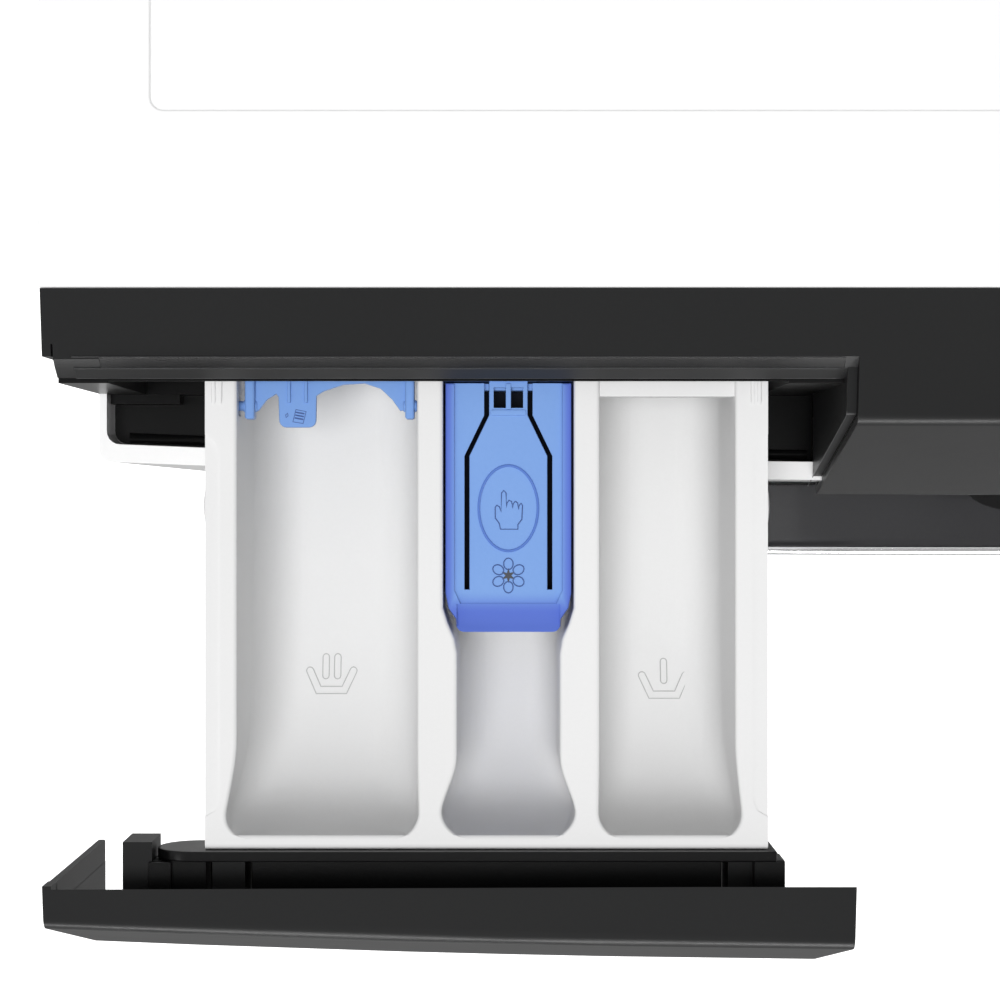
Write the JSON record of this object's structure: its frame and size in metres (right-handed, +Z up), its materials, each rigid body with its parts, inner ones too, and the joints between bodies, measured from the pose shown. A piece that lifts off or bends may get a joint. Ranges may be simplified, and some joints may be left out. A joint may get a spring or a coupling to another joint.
{
  "type": "front load washing machine",
  "caption": "Free-standing front load washing machine with a bowed front, round door and a pulled-out detergent drawer with blue inserts.",
  "frame": {"origin": "on the floor at the centre of the overall footprint, drawer out", "axes": "+Z up, the front and the open drawer face -Y, +X to the viewer's right"},
  "size_m": [0.598, 0.7723, 0.85],
  "materials": {
    "enamel": "satin",
    "worktop": "satin",
    "galvanised": "satin",
    "fascia": "satin",
    "black_plastic": "satin",
    "tray_white": "satin",
    "housing_grey": "satin",
    "blue_plastic": "satin",
    "board": "matte",
    "screen": "gloss",
    "base_grey": "matte",
    "hinge_zinc": "satin",
    "gasket_rubber": "matte",
    "foot_rubber": "matte",
    "door_dark": "satin",
    "door_silver": "satin",
    "bowl_glass": "polished",
    "tub_plastic": "matte",
    "weight": "matte",
    "stainless": "satin",
    "cast_alloy": "matte",
    "lifter_grey": "satin",
    "motor": "matte",
    "belt_rubber": "matte",
    "key_silver": "satin",
    "filter_blue": "satin",
    "door_inner": "satin"
  },
  "bodies": {
    "cabinet": {"cabinet_shell": "enamel", "cross_rail": "galvanised", "rear_panel": "galvanised", "rear_screws": "hinge_zinc", "transit_caps": "base_grey", "base_tray": "base_grey", "front_panel": "enamel", "kick_plate": "tray_white", "worktop": "worktop", "control_fascia": "fascia", "dispenser_shroud": "black_plastic", "dispenser_housing": "housing_grey", "inlet_valve": "housing_grey", "mains_inlet": "base_grey", "control_board": "board", "display_window": "screen", "drain_pump": "base_grey", "door_lock": "base_grey", "door_hinge": "hinge_zinc", "door_gasket": "gasket_rubber", "foot_nuts": "hinge_zinc"},
    "foot_front_left_body": {"foot_front_left": "foot_rubber"},
    "foot_front_right_body": {"foot_front_right": "foot_rubber"},
    "foot_rear_left_body": {"foot_rear_left": "foot_rubber"},
    "foot_rear_right_body": {"foot_rear_right": "foot_rubber"},
    "drawer": {"drawer_tray": "tray_white", "drawer_front": "fascia", "drawer_bracket": "black_plastic", "siphon_cover": "blue_plastic"},
    "insert": {"softener_insert": "blue_plastic"},
    "tab": {"release_tab": "blue_plastic"},
    "flap": {"detergent_flap": "blue_plastic"},
    "door": {"door_frame": "door_dark", "door_trim": "door_silver", "door_inner_ring": "door_inner", "door_glass": "bowl_glass"},
    "hook": {"door_hook": "hinge_zinc"},
    "tub": {"tub_front": "tub_plastic", "tub_rear": "tub_plastic", "counterweight_front": "weight", "counterweight_top": "weight", "heater": "stainless", "drum_bearings": "hinge_zinc", "motor_body": "motor", "drive_belt": "belt_rubber", "tub_springs": "hinge_zinc"},
    "drum": {"drum_shell": "stainless", "drum_spider": "cast_alloy", "drum_lifters": "lifter_grey", "drum_pulley": "cast_alloy"},
    "motor_shaft": {"motor_pulley": "hinge_zinc"},
    "cylinder_left": {"damper_cylinder_left": "base_grey"},
    "cylinder_right": {"damper_cylinder_right": "base_grey"},
    "rod_left": {"damper_rod_left": "hinge_zinc"},
    "rod_right": {"damper_rod_right": "hinge_zinc"},
    "knob": {"programme_knob": "fascia"},
    "power_key": {"power_button": "key_silver"},
    "start_key": {"start_button": "key_silver"},
    "filter": {"filter_cap": "filter_blue"},
    "plinth_flap": {"filter_flap": "tray_white"}
  },
  "joints": [
    {"name": "foot_front_left_height", "type": "slide", "parent": "cabinet", "child": "foot_front_left_body", "axis": [0, 0, -1], "range_m": [-0.003, 0.012]},
    {"name": "foot_front_right_height", "type": "slide", "parent": "cabinet", "child": "foot_front_right_body", "axis": [0, 0, -1], "range_m": [-0.003, 0.012]},
    {"name": "foot_rear_left_height", "type": "slide", "parent": "cabinet", "child": "foot_rear_left_body", "axis": [0, 0, -1], "range_m": [-0.003, 0.012]},
    {"name": "foot_rear_right_height", "type": "slide", "parent": "cabinet", "child": "foot_rear_right_body", "axis": [0, 0, -1], "range_m": [-0.003, 0.012]},
    {"name": "drawer_slide", "type": "slide", "parent": "cabinet", "child": "drawer", "axis": [0, -1, 0], "range_m": [-0.1565, 0]},
    {"name": "insert_lift", "type": "slide", "parent": "drawer", "child": "insert", "axis": [0, 0, 1], "range_m": [0, 0.06]},
    {"name": "tab_press", "type": "hinge", "parent": "insert", "child": "tab", "pos_m": [0, -0.25894, 0.8253], "axis": [-1, 0, 0], "range_deg": [0, 6], "stiffness_Nm_per_rad": 0.6},
    {"name": "flap_swing", "type": "hinge", "parent": "drawer", "child": "flap", "pos_m": [0, -0.20284, 0.8195], "axis": [-1, 0, 0], "range_deg": [0, 80]},
    {"name": "door_swing", "type": "hinge", "parent": "cabinet", "child": "door", "pos_m": [-0.236, -0.23704, 0.455], "axis": [0, 0, -1], "range_deg": [0, 120]},
    {"name": "hook_pivot", "type": "hinge", "parent": "door", "child": "hook", "pos_m": [0.208, -0.23324, 0.455], "axis": [0, 0, 1], "range_deg": [0, 10], "stiffness_Nm_per_rad": 0.4},
    {"name": "tub_float", "type": "slide", "parent": "cabinet", "child": "tub", "axis": [0, 0, 1], "range_m": [-0.008, 0.008], "stiffness_N_per_m": 12000, "springref_m": 0.03763, "deforming": ["tub_springs"]},
    {"name": "drum_turn", "type": "hinge", "parent": "tub", "child": "drum", "pos_m": [0, -0.16904, 0.455], "axis": [0, 1, 0], "continuous": true},
    {"name": "motor_turn", "type": "hinge", "parent": "tub", "child": "motor_shaft", "pos_m": [0.04, -0.16904, 0.118], "axis": [0, 1, 0], "continuous": true},
    {"name": "cylinder_left_tilt", "type": "hinge", "parent": "cabinet", "child": "cylinder_left", "pos_m": [-0.23192, 0.11596, 0.07], "axis": [0, 1, 0], "range_deg": [-0.67, 0.67]},
    {"name": "rod_left_tilt", "type": "hinge", "parent": "tub", "child": "rod_left", "pos_m": [-0.18492, 0.11596, 0.24502], "axis": [0, 1, 0], "range_deg": [-0.67, 0.67]},
    {"name": "cylinder_right_tilt", "type": "hinge", "parent": "cabinet", "child": "cylinder_right", "pos_m": [0.23192, 0.11596, 0.07], "axis": [0, 1, 0], "range_deg": [-0.67, 0.67]},
    {"name": "rod_right_tilt", "type": "hinge", "parent": "tub", "child": "rod_right", "pos_m": [0.18492, 0.11596, 0.24502], "axis": [0, 1, 0], "range_deg": [-0.67, 0.67]},
    {"name": "knob_turn", "type": "hinge", "parent": "cabinet", "child": "knob", "pos_m": [0.023, -0.21948, 0.795], "axis": [0.0033, -0.9751, 0.2216], "continuous": true},
    {"name": "power_press", "type": "slide", "parent": "cabinet", "child": "power_key", "axis": [-0.0291, 0.9747, -0.2216], "range_m": [0, 0.0015], "stiffness_N_per_m": 900, "springref_m": -0.0004},
    {"name": "start_press", "type": "slide", "parent": "cabinet", "child": "start_key", "axis": [-0.0357, 0.9745, -0.2216], "range_m": [0, 0.0015], "stiffness_N_per_m": 900, "springref_m": -0.0004},
    {"name": "filter_turn", "type": "hinge", "parent": "cabinet", "child": "filter", "pos_m": [0.2, -0.16904, 0.058], "axis": [0, -1, 0], "range_deg": [0, 180]},
    {"name": "plinth_flap_swing", "type": "hinge", "parent": "cabinet", "child": "plinth_flap", "pos_m": [0.2, -0.21913, 0.0253], "axis": [1, 0, 0], "range_deg": [0, 85]}
  ],
  "couplings": [
    {"joint": "motor_turn", "follows": "drum_turn", "ratio": 12.727},
    {"joint": "cylinder_left_tilt", "follows": "tub_float", "rad_per_m": -1.4311},
    {"joint": "rod_left_tilt", "follows": "tub_float", "rad_per_m": -1.4311},
    {"joint": "cylinder_right_tilt", "follows": "tub_float", "rad_per_m": 1.4311},
    {"joint": "rod_right_tilt", "follows": "tub_float", "rad_per_m": 1.4311}
  ]
}
